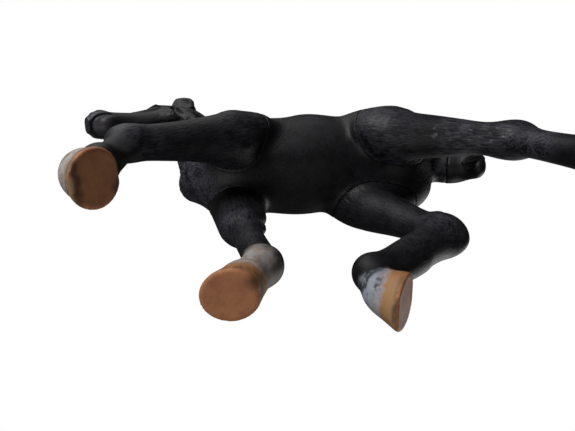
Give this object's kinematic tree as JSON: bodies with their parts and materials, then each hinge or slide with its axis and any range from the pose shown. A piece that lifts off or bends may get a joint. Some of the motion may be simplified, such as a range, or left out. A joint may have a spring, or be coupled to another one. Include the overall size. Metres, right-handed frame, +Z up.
{
  "type": "toy foal figurine",
  "caption": "Standing, trotting foal figurine in satin black moulded plastic with airbrushed pale socks and tan painted hooves, made of body, head, legs and tail mouldings.",
  "frame": {"origin": "on the ground plane, under the middle of the overall length and width", "axes": "+X is forward, toward the muzzle; +Y is the foal's left; +Z is up"},
  "size_m": [0.0704, 0.0201, 0.0716],
  "materials": {
    "body_plastic": "satin moulded PVC with fine hair relief",
    "head_plastic": "satin moulded PVC, gloss painted eyes, greyish muzzle",
    "leg_plastic": "satin moulded PVC with airbrushed pale socks and tan painted hooves",
    "tail_plastic": "satin moulded PVC with strand relief"
  },
  "bodies": {
    "root": {"torso": "body_plastic", "head_and_neck": "head_plastic", "left_foreleg": "leg_plastic", "right_foreleg": "leg_plastic", "left_hind_leg": "leg_plastic", "right_hind_leg": "leg_plastic", "tail": "tail_plastic"}
  },
  "joints": []
}
